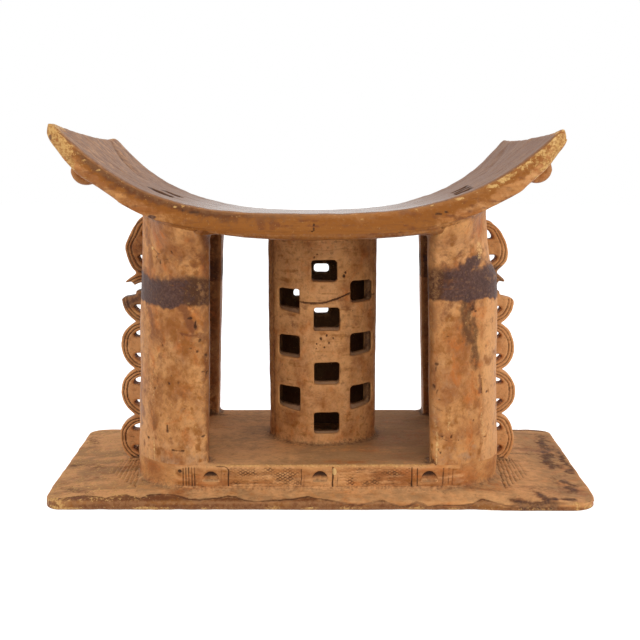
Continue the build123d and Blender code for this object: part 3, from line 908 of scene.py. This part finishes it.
# smudges on the plate in x and y: (path, width, strength)
plateSmudges = [
    ([(266, 96), (270, 76)], 7, 0.7), ([(264, 70), (262, 26), (254, -20)], 8, 0.8),
    ([(271, 48), (283, 26)], 6, 0.6), ([(278, 37), (272, -38)], 4, 0.9), ([(258, -67), (262, -92)], 7, 0.8),
    ([(225, -104), (228, -122)], 6, 0.8), ([(196, -124), (208, -127), (232, -126)], 5, 1),
    ([(222, -119), (256, -116)], 3, 0.9), ([(221, 16), (252, 18)], 3, 0.5),
    ([(253, -48), (247, -98)], 6, 0.35), ([(-271, -89), (-232, -110)], 8, 0.45),
    ([(-275, -14), (-236, -28)], 6, 0.5), ([(-268, 60), (-276, 90)], 8, 0.5),
    ([(-262, -60), (-240, -64)], 6, 0.3)]
plateWave = [
    (-277, 8), (-256, 12), (-236, 7), (-213, 14.6), (-204, 10.3), (-195, 9.1), (-188, 12.2), (-180, 15.2),
    (-170, 9.7), (-160, 8.5), (-145, 9.7), (-130, 15.8), (-119, 17), (-102, 14.6), (-92, 11), (-84, 12.2),
    (-76, 17), (-65, 19.5), (-39, 17), (-25, 15.8), (-12, 12.2), (-2, 15.8), (17, 19.5), (29, 22.5),
    (38, 23.5), (47, 21.5), (62, 18.3), (69, 21.4), (79, 24.9), (89, 24), (96, 19.5), (106, 24.9),
    (122, 23), (136, 24), (152, 21.4), (161, 15), (175, 21), (184, 24), (200, 23)]


def paintPlate(p, n, m):
    x, y, z = p.T
    up = ramp(n[:, 2], 0.5, 0.85)
    fleck = lattice(p, 5, 90)
    m["dust"] = up * (0.7 + 0.45 * lattice(p, (60, 18, 60), 91))
    cloud = layered(p, (55, 9, 55), (16, 4, 16), 0.3, 93)
    m["dark"] = (0.2 + 0.2 * (x > 0)) * up * ramp(cloud, 0.2, 0.9)
    # how far each point lies down the front shoulder and the edge, for the wavy line of dirt
    down = np.clip(np.abs(y) - 109, 0, 19) * 1.066 + np.clip(9 - z, 0, 9)
    run = np.where(y < 0, x, -x)
    front = (np.abs(y) > 108) * 1.0
    drift = lineDistance(run, down + 0.5 * fleck, plateWave)
    past = down - along(run, plateWave)
    thickness = np.maximum(1.5 + 0.9 * lattice(p, 22, 97), 0.6)
    wave = fade(drift / thickness, 0.3, 1.3)
    halo = 0.55 * fade(drift, 1, 6) * ramp(past, -2.5, 0.5)
    below = front * ramp(past, 0, 3)
    dirt = 0.9 * below * ramp(lattice(p, (30, 30, 5), 98) + 0.8, 0, 0.8)
    m["burn"] = np.maximum(front * np.maximum(wave, halo), dirt)
    m["dark"] = np.maximum(m["dark"] * (1 - front), 0.75 * front * wave)
    lay(m, "dark", 0.42 * below)
    m["amber"] = 0.75 * below
    m["gold"] = 0.75 * fade(z, 2.5, 6) * (1 - up) * ramp(0.3 + lattice(p, (18, 18, 5), 92), 0.1, 0.9)
    lay(m, "gold", 0.9 * patch(np.abs(x), y, (270, -124), (20, 9)) * ramp(fleck + 0.3, -0.2, 0.5))
    lay(m, "gold", 0.35 * up * ramp(-x, 150, 200) * ramp(fleck + 0.5, 0, 0.8))
    m["skin"] = 0.5 * front * fade(past, -4, 0) * ramp(0.6 + lattice(p, (30, 30, 5), 99), 0, 0.7)
    lay(m, "skin", 0.9 * up * ramp(-x, 140, 200) * ramp(0.4 + lattice(p, (40, 12, 40), 100), -0.1, 0.7))
    lay(m, "skin", 0.6 * up * ramp(x, 185, 200) * fade(x, 225, 250))
    m["spared"] = 0.7 * ramp(z, 12.5, 15)
    q = warped(p, 194, 3)
    q[:, 0] += 5 * lattice(p, (60, 4, 60), 95)
    for path, width, strength in plateSmudges:
        for kind, wider, share in (("dark", 1.2, 0.75), ("burn", 2.2, 0.7), ("stain", 1.5, 0.5 * (x > 0))):
            lay(m, kind, share * smear(q, path, wider * width, strength, fleck, (0, 1)))


def paintStep(p, n, m, cut):
    x, y, z = p.T
    up = ramp(n[:, 2], 0.5, 0.85)
    nearFace = ramp(np.abs(y), 103, 107)
    m["dust"] = up * (0.75 + 0.4 * lattice(p, (50, 22, 50), 95))
    m["dark"] = 0.1 * up * spots(p, (60, 30, 60), 96, -0.2, 0.7)
    m["skin"] = up * (0.6 + 0.4 * lattice(p, (36, 16, 36), 97)) * ramp(-x, -40, 60)
    # the lip between the posts, the carved face and the foot
    lip = beside(z - blockForm["stepTop"], 0.8, 2.4) * nearFace
    m["gold"] = 0.6 * lip * beside(x, 104, 116)
    drawn = layered(p, (26, 8, 3), (8, 8, 1.6), 0.5, 101)
    onFace = (1 - up) * ramp(np.abs(y), 100, 106) * (np.abs(x) < 146)
    lay(m, "skin", 0.6 * onFace * ramp(drawn, -0.1, 0.7))
    m["amber"] = 0.5 * onFace * ramp(-drawn, 0, 0.8)
    m["pale"] = patch(x, z, (14.5, 34), (2.5, 4)) * (y < 0) * (1 - up)
    lay(m, "skin", 0.6 * beside(z - 18, 0.6, 2.6) * (np.abs(x) < 172) * nearFace)
    # painted shade in the carved lines
    lay(m, "dark", 0.9 * ramp(cut, 0.2, 1.0))
    byColumn = fade(columnRing(p, (58.5, 47)), 1.0, 1.15)
    m["spared"] = np.maximum(0.6 * fade(z, 19, 23), 0.7 * up * byColumn)
    # the moons get painted shade in their sunk upper part, and their foot and sill are painted lighter and
    # spared, a painted lit ledge
    rise = (z - frieze["moonFoot"]) / 10
    wide, high = frieze["moonSize"]
    for middle in frieze["moons"]:
        far = np.abs(np.abs(x) - abs(middle))
        moon = np.hypot(far / wide, (z - frieze["moonFoot"]) / high) < 1
        moon = moon * (z > 23) * (np.abs(y) > 99) * (1 - up)
        sill = (far < 10) * beside(z - 23, 1, 2.5)
        m["dark"] = np.maximum(m["dark"] * (1 - moon), 0.9 * moon * ramp(rise, 0.3, 0.75))
        lay(m, "spared", np.maximum(moon * fade(rise, 0.3, 0.9), sill))
        lay(m, "skin", 0.8 * moon * fade(rise, 0.1, 0.4))


def paintColumn(p, n, m, cut):
    x, y, z = p.T
    ring = columnRing(p)
    inside = (ring < 0.955) * 1.0
    ledge = ramp(ring, 0.83, 0.9) * inside
    facingUp = ramp(n[:, 2], 0.4, 0.8)
    slow = lattice(p, (18, 18, 26), 98)
    # painted shade on the left flank, and a line of painted shade along its groove
    m["dark"] = 0.36 * ramp(-x + 2 * slow, 42, 52)
    lay(m, "dark", 0.48 * beside(x + 50 + slow, 0.4, 3) * (y < 8))
    # painted shade inside the hollow, painted lighter on the ledges and most where they face up, as lit sills
    lay(m, "dark", inside * (0.97 - ledge * (0.4 + 0.45 * facingUp)))
    # painted shade in the cracks and holes
    lay(m, "dark", ramp(cut, 0.3, 1.0))
    m["dust"] = inside * ledge * (0.5 + 0.5 * facingUp)
    m["spared"] = np.maximum(ledge, np.maximum(0.6 * fade(z, 44, 50), 0.4 * (1 - inside)))
    mottle = layered(p, (9, 9, 7), (4, 4, 3), 0.6, 99)
    drawn = layered(p, (30, 30, 2.2), (9, 9, 1.6), 0.5, 120)
    m["amber"] = 0.45 * np.maximum(ramp(mottle, 0.1, 0.9), ramp(drawn, 0.2, 0.9)) * (1 - inside)
    m["burn"] = 0.4 * ramp(-mottle + 0.4 * ramp(np.abs(z - 190), 30, 6), 0.4, 1.0) * (1 - inside)
    lay(m, "burn", 0.3 * ramp(-drawn, 0.4, 1) * (1 - inside))
    m["skin"] = (1 - inside) * (0.46 + 0.35 * slow)


# how the fins differ: between which heights they darken, how strong each kind of paint is, and how strong the
# painted shade in the cuts is
finLook = {-1: {"upper": (90, 240), "burn": 0.52, "dark": 0.25, "cut": 0.9, "band": 200, "amber": 0.35},
           1: {"upper": (170, 280), "burn": 0.12, "dark": 0, "cut": 0.5, "band": 216, "amber": 0}}


def paintFin(p, m, cut):
    x, z = p[:, 0], p[:, 2]
    look = finLook[1 if x.mean() > 0 else -1]
    upper = ramp(z, *look["upper"])
    m["burn"] = look["burn"] * upper * ramp(0.5 + lattice(p, 16, 101), 0, 0.6)
    # the upper part darker, and painted shade in the rings and the scratched webs
    m["dark"] = np.maximum(look["dark"] * upper, look["cut"] * ramp(cut, 0.2, 0.7))
    m["stain"] = 0.75 * beside(z - look["band"] + 5 * lattice(p, 8, 102), 9, 20)
    m["amber"] = look["amber"] * spots(p, 14, 103, 0.0, 0.7)
    worn = spots(p, 7, 104, -0.5, 0.4)
    m["skin"] = (1 - upper) * (0.55 + 0.45 * worn) * (1 - 0.7 * m["stain"])
    outer = ramp(x, 186, 204) * ramp(z, 40, 80) * (1 - 0.6 * ramp(z, 246, 262))
    lay(m, "skin", outer * (1 - 0.5 * m["stain"]))


for name, ob in pieces.items():
    mesh = ob.data
    p, n = getPoints(mesh), getNormals(mesh)
    m = {mask: np.zeros(len(p)) for mask in masks + ("spared",)}
    cut = np.zeros(len(p))
    if name == "base_step":
        cut = carveStep(p)
        paintStep(p, n, m, cut)
    elif name == "base_plate":
        cut = carvePlate(p, n)
        paintPlate(p, n, m)
        # painted shade in the knife strokes
        lay(m, "dark", 0.4 * ramp(cut, 0.2, 0.8))
    elif name.startswith("end_fin"):
        cut = carveFin(p, n)
        paintFin(p, m, cut)
    elif name.startswith("post_"):
        side, atFront = name.split("_")[2], name.split("_")[1] == "front"
        cut = carvePost(p, n, side, atFront)
        paintPost(p, n, side, atFront, m)
        # painted shade in the pits and cuts
        lay(m, "dark", 0.75 * ramp(cut, 0.3, 1.2))
    elif name == "center_column":
        cut = carveColumn(p, n)
        paintColumn(p, n, m, cut)
    elif name == "seat_keel":
        paintKeel(p, m)
    elif name.startswith("grip_lug"):
        paintLug(p, n, m)
    elif name == "seat":
        cut = carveSeat(p, n)
        paintSeat(p, n, m)
        # painted shade in the cuts
        lay(m, "dark", ramp(cut, 0.3, 0.9))
    setPoints(mesh, np.clip(p, cadLow, cadHigh))
    for mask in masks:
        store(mesh, mask, m[mask])
    # grime and painted shade settle in the cuts, and the spared places lose most of them
    store(mesh, "grime", (read(mesh, "grime") + 0.5 * ramp(cut, 0.2, 1.0)) * (1 - 0.8 * m["spared"]))
print("members carved and painted")


def thin(ob, most):
    # brings a piece under a number of triangles, its flattest places first, its rims left alone
    mesh = ob.data
    mesh.calc_loop_triangles()
    count = len(mesh.loop_triangles)
    if count <= most:
        return
    rims = np.bincount(fetch(mesh.loops, "edge_index", np.int32), minlength=len(mesh.edges)) < 2
    onRim = np.zeros(len(mesh.vertices), bool)
    onRim[getEdges(mesh)[rims].ravel()] = True
    ob.vertex_groups.new(name="inner").add(np.flatnonzero(~onRim).tolist(), 1, "REPLACE")
    collapse = ob.modifiers.new("thin", "DECIMATE")
    collapse.ratio = most / count
    collapse.vertex_group = "inner"
    ob.data = bpy.data.meshes.new_from_object(ob.evaluated_get(bpy.context.evaluated_depsgraph_get()))
    ob.modifiers.clear()
    ob.vertex_groups.clear()
    bpy.data.meshes.remove(mesh)
    ob.data.name = ob.name


def close(mesh):
    # closes the cut faces; along the rims the outside keeps the block's normals, so it shades as one piece
    count = len(mesh.polygons)
    shading = getNormals(mesh)
    flow = fetch(mesh.attributes["flow"].data, "vector", np.float32, 3)
    bm = bmesh.new()
    bm.from_mesh(mesh)
    rims = [e for e in bm.edges if e.is_boundary]
    onRim = sorted({v.index for e in rims for v in e.verts})
    for e in rims:
        e.smooth = False
    bmesh.ops.holes_fill(bm, edges=rims, sides=0)
    bm.to_mesh(mesh)
    bm.free()
    shading[onRim] = flow[onRim]
    mesh.attributes.remove(mesh.attributes["flow"])
    split = shading[fetch(mesh.loops, "vertex_index", np.int32)]
    for cap in list(mesh.polygons)[count:]:
        split[cap.loop_start:cap.loop_start + cap.loop_total] = cap.normal
    mesh.normals_split_custom_set(split.tolist())


for name, ob in pieces.items():
    thin(ob, blockForm["most"])
    close(ob.data)
    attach(ob, "root")
    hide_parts(name)
    print("closed", name, len(ob.data.polygons), "faces")


# one way of making wood, with its own values for each part
def put(tree, kind, feeds=None, **settings):
    made = tree.nodes.new("ShaderNode" + kind)
    for key, value in settings.items():
        setattr(made, key, value)
    for socket, value in (feeds or {}).items():
        if isinstance(value, bpy.types.NodeSocket):
            tree.links.new(value, made.inputs[socket])
        else:
            made.inputs[socket].default_value = value
    return made


def newGroup(name, inputs, outputs):
    tree = bpy.data.node_groups.new(name, "ShaderNodeTree")
    for label, kind, value in inputs:
        socket = tree.interface.new_socket(label, in_out="INPUT", socket_type="NodeSocket" + kind)
        socket.default_value = value
    for label in outputs:
        tree.interface.new_socket(label, in_out="OUTPUT", socket_type="NodeSocketFloat")
    return tree, tree.nodes.new("NodeGroupInput"), tree.nodes.new("NodeGroupOutput")


def calc(tree, operation, a, b=0.0, c=0.0, clamp=False):
    return put(tree, "Math", {0: a, 1: b, 2: c}, operation=operation, use_clamp=clamp).outputs[0]


def spread(tree, value, low, high, least=0.0, most=1.0, soft=True):
    feeds = {"Value": value, "From Min": low, "From Max": high, "To Min": least, "To Max": most}
    shape = "SMOOTHSTEP" if soft else "LINEAR"
    return put(tree, "MapRange", feeds, interpolation_type=shape).outputs["Result"]


def cloudNoise(tree, vector, scale, detail, roughness, distortion=0.0):
    feeds = {"Vector": vector, "Scale": scale, "Detail": detail, "Roughness": roughness,
             "Distortion": distortion}
    return put(tree, "TexNoise", feeds).outputs["Fac"]


def makeRagged():
    # a soft painted mask gets a broken edge
    tree, given, result = newGroup("ragged", [("Mask", "Float", 0), ("Size", "Float", 200),
                                              ("Bite", "Float", 0.5), ("Edge", "Float", 0.15)], ["Mask"])
    place = put(tree, "TexCoord").outputs["Object"]
    noise = cloudNoise(tree, place, given.outputs["Size"], 6, 0.65)
    full = spread(tree, noise, 0.32, 0.68, -0.5, 0.5, soft=False)
    moved = calc(tree, "MULTIPLY_ADD", full, given.outputs["Bite"], given.outputs["Mask"])
    edge = given.outputs["Edge"]
    step = spread(tree, moved, calc(tree, "SUBTRACT", 0.5, edge), calc(tree, "ADD", 0.5, edge))
    tree.links.new(step, result.inputs["Mask"])
    return tree


def makeGrain():
    # what all the wood shares: broad clouds, orange patches, a film of grey, fibres, specks and worm pits
    tree, given, result = newGroup("grain", [("Stretch", "Vector", (1, 1, 1)), ("Cloud", "Float", 30)],
                                   ["Cloud", "Patch", "Film", "Fibre", "Speck", "Pits", "Height"])
    place = put(tree, "TexCoord").outputs["Object"]
    drawn = put(tree, "VectorMath", {0: place, 1: given.outputs["Stretch"]}, operation="MULTIPLY").outputs[0]
    shifted = put(tree, "VectorMath", {0: drawn, 1: (3.1, 1.7, 5.3)}, operation="ADD").outputs[0]
    made = {"Cloud": spread(tree, cloudNoise(tree, drawn, given.outputs["Cloud"], 6, 0.62), 0.34, 0.66),
            "Patch": spread(tree, cloudNoise(tree, shifted, 62, 5, 0.6, 0.6), 0.5, 0.68),
            "Film": spread(tree, cloudNoise(tree, shifted, 38, 7, 0.72, 0.4), 0.48, 0.7),
            "Fibre": cloudNoise(tree, drawn, 340, 5, 0.7, 0.3),
            "Speck": cloudNoise(tree, place, 430, 3, 0.6)}
    cells = put(tree, "TexVoronoi", {"Vector": place, "Scale": 115, "Randomness": 1}, feature="F1")
    few = put(tree, "SeparateColor", {"Color": cells.outputs["Color"]}).outputs[0]
    size = spread(tree, few, 0.72, 1, 0, 0.11, soft=False)
    made["Pits"] = calc(tree, "LESS_THAN", cells.outputs["Distance"], size)
    height = calc(tree, "MULTIPLY", made["Speck"], 0.45)
    for label, amount in (("Fibre", -0.7), ("Pits", -0.9), ("Cloud", 0.35)):
        height = calc(tree, "MULTIPLY_ADD", made[label], amount, height)
    made["Height"] = height
    for label, value in made.items():
        tree.links.new(value, result.inputs[label])
    return tree


ragged, grain = makeRagged(), makeGrain()
colours = {
    "light": tone(210, 148, 88), "deep": tone(156, 94, 46), "orange": tone(190, 106, 42),
    "film": tone(184, 142, 104), "fibre": tone(92, 52, 28), "pit": tone(58, 32, 18),
    "dark": tone(60, 34, 18), "burn": tone(112, 60, 30), "amber": tone(142, 82, 22),
    "gold": tone(218, 173, 104), "stain": tone(56, 34, 31), "ash": tone(98, 72, 66),
    "grime": tone(58, 34, 20), "pale": tone(228, 186, 122), "wear": tone(214, 154, 98),
    "skin": tone(222, 162, 106),
}
looks = {
    "seat_wood": {"stretch": (0.16, 1, 1), "cloud": 60, "dust": tone(110, 70, 42), "rough": 0.56,
                  "gloss": 0.17, "dusty": -0.11, "calm": 0.45, "film": 0.08, "orange": 0.3, "wear": 0.2},
    "carved_wood": {"stretch": (1, 1, 0.75), "cloud": 40, "dust": tone(168, 132, 102), "rough": 0.58,
                    "gloss": 0.2, "dusty": 0.15, "calm": 0, "film": 0.3, "orange": 0.7, "wear": 0.35},
    "base_wood": {"stretch": (0.3, 1, 1), "cloud": 42, "dust": tone(168, 128, 86), "rough": 0.62,
                  "gloss": 0.25, "dusty": 0.15, "calm": 0, "film": 0.4, "orange": 0.5, "wear": 0.35},
}
# the masks in the order in which they lie on the wood: size, bite and edge of the broken rim, strength
layers = {"dust": (90, 0.8, 0.35, 0.85), "skin": (110, 0.7, 0.45, 0.75), "amber": (130, 0.7, 0.35, 0.88),
          "burn": (150, 0.8, 0.4, 0.78), "dark": (300, 0.35, 0.48, 0.85), "gold": (380, 1.0, 0.22, 0.9),
          "stain": (170, 0.5, 0.3, 0.88), "wear": (300, 0.8, 0.4, 1), "grime": (300, 0.6, 0.45, 0.7),
          "pale": (480, 0.6, 0.2, 0.85)}


def makeWood(name, look):
    material = bpy.data.materials.new(name)
    material.use_nodes = True
    tree = material.node_tree
    shader = tree.nodes["Principled BSDF"]
    shader.inputs["Specular IOR Level"].default_value = look["gloss"]

    def attribute(mask):
        return put(tree, "Attribute", attribute_name=mask).outputs["Fac"]

    def broken(mask, size, bite, edge):
        node = tree.nodes.new("ShaderNodeGroup")
        node.node_tree = ragged
        tree.links.new(attribute(mask), node.inputs["Mask"])
        for label, value in (("Size", size), ("Bite", bite), ("Edge", edge)):
            node.inputs[label].default_value = value
        return node.outputs["Mask"]

    def blend(base, colour, mask):
        mix = put(tree, "Mix", {"Factor": mask}, data_type="RGBA")
        sockets = [s for s in mix.inputs if s.type == "RGBA"]
        for socket, value in zip(sockets, (base, colour)):
            if isinstance(value, tuple):
                socket.default_value = value
            else:
                tree.links.new(value, socket)
        return [s for s in mix.outputs if s.type == "RGBA"][0]

    def between(value, low, high, amount):
        return spread(tree, value, low, high, 0.0, amount, soft=False)

    def scaled(mask, amount):
        return calc(tree, "MULTIPLY", mask, amount, clamp=True)

    fibres = tree.nodes.new("ShaderNodeGroup")
    fibres.node_tree = grain
    fibres.inputs["Stretch"].default_value = look["stretch"]
    fibres.inputs["Cloud"].default_value = look["cloud"]
    given = fibres.outputs
    torn = {mask: broken(mask, *values[:3]) for mask, values in layers.items()}
    flake = blend(colours["gold"], colours["amber"], between(given["Speck"], 0.44, 0.6, 0.75))
    paint = dict(colours, dust=look["dust"])
    paint["gold"] = blend(flake, colours["pale"], between(given["Cloud"], 0.7, 1, 0.5))
    paint["stain"] = blend(colours["stain"], colours["ash"], between(given["Speck"], 0.42, 0.72, 0.75))

    colour = blend(colours["deep"], colours["light"], given["Cloud"])
    colour = blend(colour, colours["orange"], scaled(given["Patch"], look["orange"]))
    colour = blend(colour, colours["film"], scaled(given["Film"], look["film"]))
    for mask, values in layers.items():
        strength = look["wear"] if mask == "wear" else values[3]
        if mask == "burn":
            colour = blend(colour, colours["fibre"], between(given["Fibre"], 0.52, 0.76, 0.5))
        if mask == "pale":
            colour = blend(colour, colours["pit"], scaled(given["Pits"], 0.42))
        colour = blend(colour, paint[mask], scaled(torn[mask], strength))
    tree.links.new(colour, shader.inputs["Base Color"])
    rough = calc(tree, "MULTIPLY_ADD", given["Speck"], 0.22, look["rough"] - 0.11)
    for mask, amount in ((torn["amber"], -0.12), (torn["stain"], -0.08), (torn["dust"], look["dusty"]),
                         (attribute("polish"), -0.28)):
        rough = calc(tree, "MULTIPLY_ADD", mask, amount, rough)
    rough = calc(tree, "MULTIPLY_ADD", torn["dark"], 0.15, rough, clamp=True)
    tree.links.new(rough, shader.inputs["Roughness"])
    height = calc(tree, "MULTIPLY_ADD", torn["stain"], 0.3, given["Height"])
    height = calc(tree, "MULTIPLY", height, calc(tree, "MULTIPLY_ADD", torn["dust"], -look["calm"], 1))
    bump = put(tree, "Bump", {"Height": height, "Strength": 0.6, "Distance": 0.0009})
    tree.links.new(bump.outputs["Normal"], shader.inputs["Normal"])
    return material


woods = {name: makeWood(name, look) for name, look in looks.items()}
slots = {part["node"]: part["material_slot"] for part in frame["record"]["subparts"]}
for name, ob in pieces.items():
    ob.data.materials.append(woods[slots[name]])
print("wood finished")

# floor and light; a lamp is (place, size of its sides, power)
roomForm = {"floor": 6.0, "shade": 0.8, "glow": 0.78, "sky": 0.57, "aim": (0, 0, 0.18)}
lamps = {"right": ((2.1, -1.2, 1.2), 1.0, 20), "left": ((-2.1, -1.1, 1.0), 1.0, 13),
         "front": ((0.5, -2.3, 1.4), 1.4, 10), "above": ((0, 0.2, 2.2), 1.6, 7)}


def whiteFor(tree):
    # what the camera and the gloss see is white, and what lights the wood is not
    path = put(tree, "LightPath").outputs
    seen = calc(tree, "MAXIMUM", path["Is Camera Ray"], path["Is Glossy Ray"])
    return calc(tree, "MAXIMUM", seen, path["Is Transmission Ray"])


floorMesh = bpy.data.meshes.new("floor")
bm = bmesh.new()
bmesh.ops.create_grid(bm, x_segments=1, y_segments=1, size=roomForm["floor"])
bm.to_mesh(floorMesh)
bm.free()
floor = bpy.data.objects.new("floor", floorMesh)
bpy.context.scene.collection.objects.link(floor)
floor.location.z = -0.0003
paper = bpy.data.materials.new("paper")
paper.use_nodes = True
tree = paper.node_tree
tree.nodes.clear()
matt = put(tree, "BsdfDiffuse", {"Color": (roomForm["shade"],) * 3 + (1,)})
glow = put(tree, "Emission", {"Strength": calc(tree, "MULTIPLY", whiteFor(tree), roomForm["glow"])})
both = put(tree, "AddShader", {0: matt.outputs[0], 1: glow.outputs[0]})
put(tree, "OutputMaterial", {"Surface": both.outputs[0]})
floorMesh.materials.append(paper)

world = bpy.data.worlds.new("room")
bpy.context.scene.world = world
world.use_nodes = True
tree = world.node_tree
tree.nodes.clear()
soft, white = (put(tree, "Background", {"Color": (1, 1, 1, 1), "Strength": strength}).outputs[0]
               for strength in (roomForm["sky"], 1))
mix = put(tree, "MixShader", {0: whiteFor(tree), 1: soft, 2: white})
put(tree, "OutputWorld", {"Surface": mix.outputs[0]})

for name, (place, side, power) in lamps.items():
    light = bpy.data.lights.new(name, "AREA")
    light.shape = "RECTANGLE"
    light.size = light.size_y = side
    light.energy = power
    ob = bpy.data.objects.new(name, light)
    ob.location = place
    ob.rotation_euler = (Vector(roomForm["aim"]) - Vector(place)).to_track_quat("-Z", "Y").to_euler()
    bpy.context.scene.collection.objects.link(ob)
print("floor and light set")
